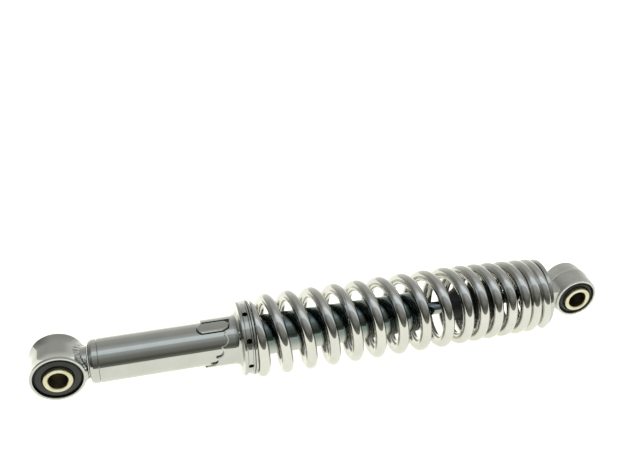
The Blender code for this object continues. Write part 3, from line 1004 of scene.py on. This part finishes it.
def spring_path():
    """The wire's middle line, from the lower end to the upper one."""
    count = round(SPRING_TURNS * STEPS_PER_TURN)
    turns = np.linspace(0.0, SPRING_TURNS, count * FINE_STEPS + 1)
    pitch = at_turns((turns[1:] + turns[:-1]) / 2, PITCH_KNOTS)
    x = SPRING_START + np.concatenate([[0.0], np.cumsum(pitch * np.diff(turns))])
    to_end = SPRING_TURNS - turns
    x -= LOW_TIP_SHIFT * np.clip(1.0 - turns / LOW_TIP_TURNS, 0.0, 1.0) ** LOW_TIP_POWER
    x += HIGH_TIP_SHIFT * np.clip(1.0 - to_end / HIGH_TIP_TURNS, 0.0, 1.0) ** HIGH_TIP_POWER
    angle = np.radians(SPRING_START_ANGLE - 360.0 * turns)
    x += at_turns(turns, FRONT_LEAN) * np.cos(angle)
    x += at_turns(turns, TOP_LEAN) * np.sin(angle)
    taper = np.clip((turns - TAPER_START) / (SPRING_TURNS - TAPER_START), 0.0, 1.0)
    mean = SPRING_MEAN + taper * (SPRING_END_MEAN - SPRING_MEAN)
    path = np.stack([x, -mean * np.cos(angle), mean * np.sin(angle) - at_turns(turns, SAG)], axis=1)
    return path[::FINE_STEPS]


def spring_mesh():
    """The whole wire as a closed tube, with both ends ground flat against the seat and the cap."""
    path = spring_path()
    tangent = np.gradient(path, axis=0)
    tangent /= np.linalg.norm(tangent, axis=1)[:, None]
    outward = path * np.array((0.0, 1.0, 1.0))
    outward -= (outward * tangent).sum(axis=1)[:, None] * tangent
    outward /= np.linalg.norm(outward, axis=1)[:, None]
    side = np.cross(tangent, outward)
    end = len(path) - 1
    # (point on the path, the wire's radius, shift along the wire)
    stations = [(0, WIRE - TIP_ROUNDING, -TIP_LENGTH)]
    stations += [(i, WIRE, 0.0) for i in range(len(path))]
    stations += [(end, WIRE - TIP_ROUNDING, TIP_LENGTH)]
    around = np.arange(WIRE_SEGMENTS) / WIRE_SEGMENTS * math.tau
    rings = []
    for i, radius, ahead in stations:
        direction = np.outer(np.cos(around), outward[i]) + np.outer(np.sin(around), side[i])
        rings.append(path[i] + radius * direction + tangent[i] * ahead)
    verts = np.concatenate(rings)
    verts[:, 0] = np.clip(verts[:, 0], SEAT_GROUND, CAP_GROUND)
    numbers = np.arange(len(verts)).reshape(len(rings), WIRE_SEGMENTS).tolist()
    faces = []
    for ring, above in zip(numbers, numbers[1:]):
        for k in range(WIRE_SEGMENTS):
            m = (k + 1) % WIRE_SEGMENTS
            faces.append([ring[k], ring[m], above[m], above[k]])
    faces += [numbers[0][::-1], numbers[-1]]
    return verts, faces


def add_spring():
    """The coil spring in two pieces that meet at the split."""
    verts, faces = spring_mesh()
    split = (SPRING_SPLIT * MM, 0.0, 0.0)
    for name, keep_low in (("coil_spring_lower_turns", True), ("coil_spring_upper_turns", False)):
        mesh = bpy.data.meshes.new(name)
        mesh.from_pydata((verts * MM).tolist(), [], faces)
        shape = bmesh.new()
        shape.from_mesh(mesh)
        bmesh.ops.recalc_face_normals(shape, faces=shape.faces)
        cut = bmesh.ops.bisect_plane(
            shape, geom=shape.verts[:] + shape.edges[:] + shape.faces[:], plane_co=split,
            plane_no=(1.0, 0.0, 0.0), clear_outer=keep_low, clear_inner=not keep_low,
        )
        edges = [e for e in cut["geom_cut"] if isinstance(e, bmesh.types.BMEdge)]
        bmesh.ops.edgeloop_fill(shape, edges=edges)
        bmesh.ops.triangulate(shape, faces=[f for f in shape.faces if len(f.verts) > 4])
        shape.to_mesh(mesh)
        shape.free()
        mesh.shade_smooth()
        obj = add_piece(name, mesh, "spring_chrome")
        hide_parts("coil_spring")
        if keep_low:
            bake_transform(obj)
        else:
            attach(obj, "damper_body")
            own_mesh(obj)


add_spring()

# ------------------------------------------------- spring seats and rod

SEAT_BORE = 14.1
SEAT_SHIFT = -0.7
seat_start, seat_end, seat_radius = span("spring_seat_ring")
seat_start += SEAT_SHIFT
seat_end += SEAT_SHIFT
seat_radius -= 0.3
add_turned(
    "spring_seat_washer",
    [
        (seat_start, SEAT_BORE, 0.1), (seat_start, seat_radius, 0.3),
        (seat_end, seat_radius, 0.5), (seat_end, SEAT_BORE, 0.1),
    ],
    "chrome", "spring_seat_ring", "spring_seat",
)

CAP_FACE = 315.3
CAP_SPIGOT = 15.2
CAP_WALL = 1.6
CAP_INSIDE = 14.2
CAP_HOLE = 10.2
CAP_DROP = -0.5
cap_start, cap_back, cap_radius = span("upper_spring_cap")
cap_radius -= 0.4
add_turned(
    "upper_spring_cap_pressed",
    [
        (cap_start, CAP_INSIDE, 0.2), (cap_start, CAP_SPIGOT, 0.4), (CAP_FACE, CAP_SPIGOT, 0.8),
        (CAP_FACE, cap_radius, 0.9), (cap_back, cap_radius, 1.3), (cap_back, CAP_HOLE, 0.3),
        (cap_back - CAP_WALL, CAP_HOLE, 0.1), (cap_back - CAP_WALL, CAP_INSIDE, 0.8),
    ],
    "chrome", "upper_spring_cap", "spring_cap", centre=(0.0, 0.0, CAP_DROP),
)

ROD_RADIUS = 4.25
ROD_NECK_RADIUS = 3.5
ROD_NECK_END = 194.0
rod_start, rod_end, _ = span("piston_rod")
add_turned(
    "piston_rod_ground",
    [
        (rod_start, 0.0), (rod_start, ROD_NECK_RADIUS, 0.5), (ROD_NECK_END, ROD_NECK_RADIUS, 0.1),
        (ROD_NECK_END, ROD_RADIUS, 0.2), (rod_end, ROD_RADIUS, 0.8), (rod_end, 0.0),
    ],
    "ground_rod", "piston_rod", "rod_and_eye", steps=96,
)

BUMP_BORE = ROD_RADIUS + 0.15
BUMP_RADIUS = 12.3
# (distance from the nose, radius, fillet): a blunt nose, a cone, and a waist before the foot.
BUMP_OUTLINE = [
    (0.0, 6.9, 0.6), (1.4, 8.0, 0.8), (8.0, 11.5, 1.5), (10.5, BUMP_RADIUS, 1.5), (15.0, BUMP_RADIUS, 1.4),
    (17.2, 10.6, 1.2), (19.4, BUMP_RADIUS, 1.4),
]
bump_start, bump_end, _ = span("bump_stop")
bump_stop = add_turned(
    "bump_stop_moulded",
    [
        (bump_start, BUMP_BORE, 0.2), *((bump_start + a, r, fillet) for a, r, fillet in BUMP_OUTLINE),
        (bump_end, BUMP_RADIUS, 1.2), (bump_end, BUMP_BORE, 0.2),
    ],
    "black_rubber", "bump_stop", "bump_rubber",
)
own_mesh(bump_stop)

# -------------------------------------------------------------- upper eye

UPPER_PARTING = 14.75
FRONT_DRAFT = 0.025
BACK_DRAFT = 0.12
PARTING_RIDGE = 0.2
PARTING_WIDTH = 0.5
UPPER_BORE = 12.65
UPPER_FRONT = 12.8
UPPER_BACK = 11.4
SHANK_CENTRE = (328.5, -1.2, 0.0)
SHANK_HALF = (9.0, 10.2, 7.7)
SHANK_CORNER = 1.1
SHANK_FACE = 318.8
SHANK_BASE_RADIUS = 11.8
SHANK_BASE_HALF = 1.6
THREAD_END = 325.6


def upper_eye_field(place):
    """Cast eye: a barrel with draft on both sides of its parting line, a flat shank and a round base."""
    x, y, z = place[:, 0] - UPPER_X, place[:, 1], place[:, 2]
    ring = np.hypot(x, z)
    taper = ring - UPPER_PARTING + FRONT_DRAFT * np.maximum(-y, 0.0) + BACK_DRAFT * np.maximum(y, 0.0)
    taper -= PARTING_RIDGE * np.exp(-((y / PARTING_WIDTH) ** 2))
    barrel = smooth_max(smooth_max(taper, -UPPER_FRONT - y, 0.9), y - UPPER_BACK, 1.6)
    shank = rounded_block(place, SHANK_CENTRE, SHANK_HALF, SHANK_CORNER)
    axis = np.hypot(y, z)
    base_middle = SHANK_FACE + SHANK_BASE_HALF
    base = smooth_max(axis - SHANK_BASE_RADIUS, np.abs(place[:, 0] - base_middle) - SHANK_BASE_HALF, 0.8)
    solid = smooth_min(smooth_min(barrel, shank, 1.4), base, 1.2)
    solid = np.maximum(solid, SHANK_FACE - place[:, 0])
    bore = smooth_max(solid, UPPER_BORE - ring, 0.5)
    thread = np.maximum(axis - ROD_RADIUS - 0.25, place[:, 0] - THREAD_END)
    return np.maximum(bore, -thread)


def on_upper_front(p):
    return p.y < 0.5 - UPPER_FRONT and math.hypot(p.x - UPPER_X, p.z) > UPPER_BORE + 0.1


upper_eye = blended(
    "upper_eye_cast", upper_eye_field, (318.0, -13.6, -15.6), (355.6, 13.6, 15.6), "cast_aluminium",
)
# The eye's front face: painted highlight.
finish_where(upper_eye, "edge_painted_highlight", on_upper_front)
stand_for(upper_eye, "upper_eye_casting", "rod_and_eye")

# ------------------------------------------------------- finish of the rest

NODE_FINISH = {
    "working_cylinder": "steel", "base_valve": "steel", "rod_guide": "cast_aluminium",
    "guide_bushing": "bronze", "oil_seal": "black_rubber", "seal_cover": "steel", "rod_lock_nut": "steel",
    "bump_washer": "steel", "piston": "steel", "piston_ring": "bronze", "piston_nut": "steel",
    "valve_shim": "steel", "rebound_stop": "black_plastic",
}
for node, finish in NODE_FINISH.items():
    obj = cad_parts[node]
    obj.data.materials.clear()
    obj.data.materials.append(MATERIALS[finish])

# ---------------------------------------------------------- floor and light

FLOOR_COLOUR = (0.80, 0.80, 0.74)
FLOOR_GLOW_NEAR = (0.98, 0.98, 0.88)
FLOOR_GLOW_FAR = (0.45, 0.45, 0.42)
FLOOR_GLOW_HORIZON = (0.80, 0.80, 0.76)
# Metres: half the floor's side, the point under the shock's middle, and the rings where its glow changes.
FLOOR_REACH = 12.0
FLOOR_GAP = 0.0002
FLOOR_MIDDLE = (0.17, 0.0, 0.0)
NEAR_RING = (0.35, 2.6)
FAR_RING = (3.5, 8.0)


def add_floor(height):
    """Pale paper that glows by itself, with a painted pool of light: brightest round the shock, dimmer
    further out, and pale again at the horizon.
    """
    mesh = bpy.data.meshes.new("floor")
    signs = ((-1, -1), (1, -1), (1, 1), (-1, 1))
    mesh.from_pydata([(x * FLOOR_REACH, y * FLOOR_REACH, 0) for x, y in signs], [], [(0, 1, 2, 3)])
    floor = add_object("floor", mesh)
    floor.location.z = height
    n = MaterialNodes("floor")
    n.shader.inputs["Roughness"].default_value = 0.6
    n.shader.inputs["Base Color"].default_value = (*FLOOR_COLOUR, 1.0)
    distance = n.add("VectorMath")
    distance.operation = "DISTANCE"
    distance.inputs[1].default_value = FLOOR_MIDDLE
    n.join(n.place, distance.inputs[0])
    near = n.remap(distance.outputs["Value"], *NEAR_RING, 1.0, 0.0)
    far = n.remap(distance.outputs["Value"], *FAR_RING)
    glow = n.mix(far, n.mix(near, FLOOR_GLOW_FAR, FLOOR_GLOW_NEAR), FLOOR_GLOW_HORIZON)
    n.join(glow, n.shader.inputs["Emission Color"])
    n.shader.inputs["Emission Strength"].default_value = 1.0
    mesh.materials.append(n.finish())
    floor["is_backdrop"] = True


BACKDROP_COLOUR = (0.90, 0.90, 0.87)
SKY_STRENGTH = 1.22
# The room is darker towards the lower eye's end.
SKY_END_SHARE = 0.35
SKY_END_RANGE = (-1.0, -0.15)
# Round the shock's length from the front, over the top, to the back: (share of the half turn, colour).
SKY_STOPS = [
    (0.00, (0.24, 0.245, 0.22)), (0.09, (0.115, 0.12, 0.10)), (0.20, (0.235, 0.24, 0.215)),
    (0.35, (0.45, 0.475, 0.475)), (0.385, (0.80, 0.87, 0.92)), (0.465, (0.86, 0.93, 0.98)),
    (0.53, (0.52, 0.54, 0.54)), (0.63, (0.40, 0.41, 0.40)), (0.78, (0.47, 0.475, 0.45)),
    (0.90, (0.68, 0.69, 0.66)), (1.00, (0.84, 0.85, 0.80)),
]


def add_studio_light():
    """Soft studio: dark room in front, a long light overhead, a pale wall behind.

    The metal reflects this room, and the backdrop that is seen directly is plain.
    """
    world = bpy.data.worlds.new("studio")
    bpy.context.scene.world = world
    world.use_nodes = True
    n = Nodes(world.node_tree, "Generated")
    ramp = n.add("ValToRGB")
    ramp.color_ramp.interpolation = "EASE"
    stops = ramp.color_ramp.elements
    while len(stops) > 1:
        stops.remove(stops[-1])
    stops[0].position = SKY_STOPS[0][0]
    stops[0].color = (*SKY_STOPS[0][1], 1.0)
    for position, colour in SKY_STOPS[1:]:
        stops.new(position).color = (*colour, 1.0)
    direction = n.parts(n.place)
    angle = n.math("ARCTAN2", direction["Z"], n.math("MULTIPLY", direction["Y"], -1.0))
    n.join(n.math("DIVIDE", angle, math.pi), ramp.inputs["Fac"])
    strength = n.remap(direction["X"], *SKY_END_RANGE, SKY_END_SHARE * SKY_STRENGTH, SKY_STRENGTH)
    reflected = n.tree.nodes["Background"]
    n.join(ramp.outputs["Color"], reflected.inputs["Color"])
    n.join(strength, reflected.inputs["Strength"])
    backdrop = n.add("Background")
    backdrop.inputs["Color"].default_value = (*BACKDROP_COLOUR, 1.0)
    blend = n.add("MixShader")
    n.join(n.add("LightPath").outputs["Is Camera Ray"], blend.inputs[0])
    n.join(reflected.outputs["Background"], blend.inputs[1])
    n.join(backdrop.outputs["Background"], blend.inputs[2])
    n.join(blend.outputs["Shader"], n.tree.nodes["World Output"].inputs["Surface"])


low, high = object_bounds()
add_floor(low.z - FLOOR_GAP)
add_studio_light()
bpy.context.scene.view_settings.view_transform = "Standard"
bpy.context.scene.view_settings.look = "None"
bpy.context.scene.cycles.use_denoising = True

low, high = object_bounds()
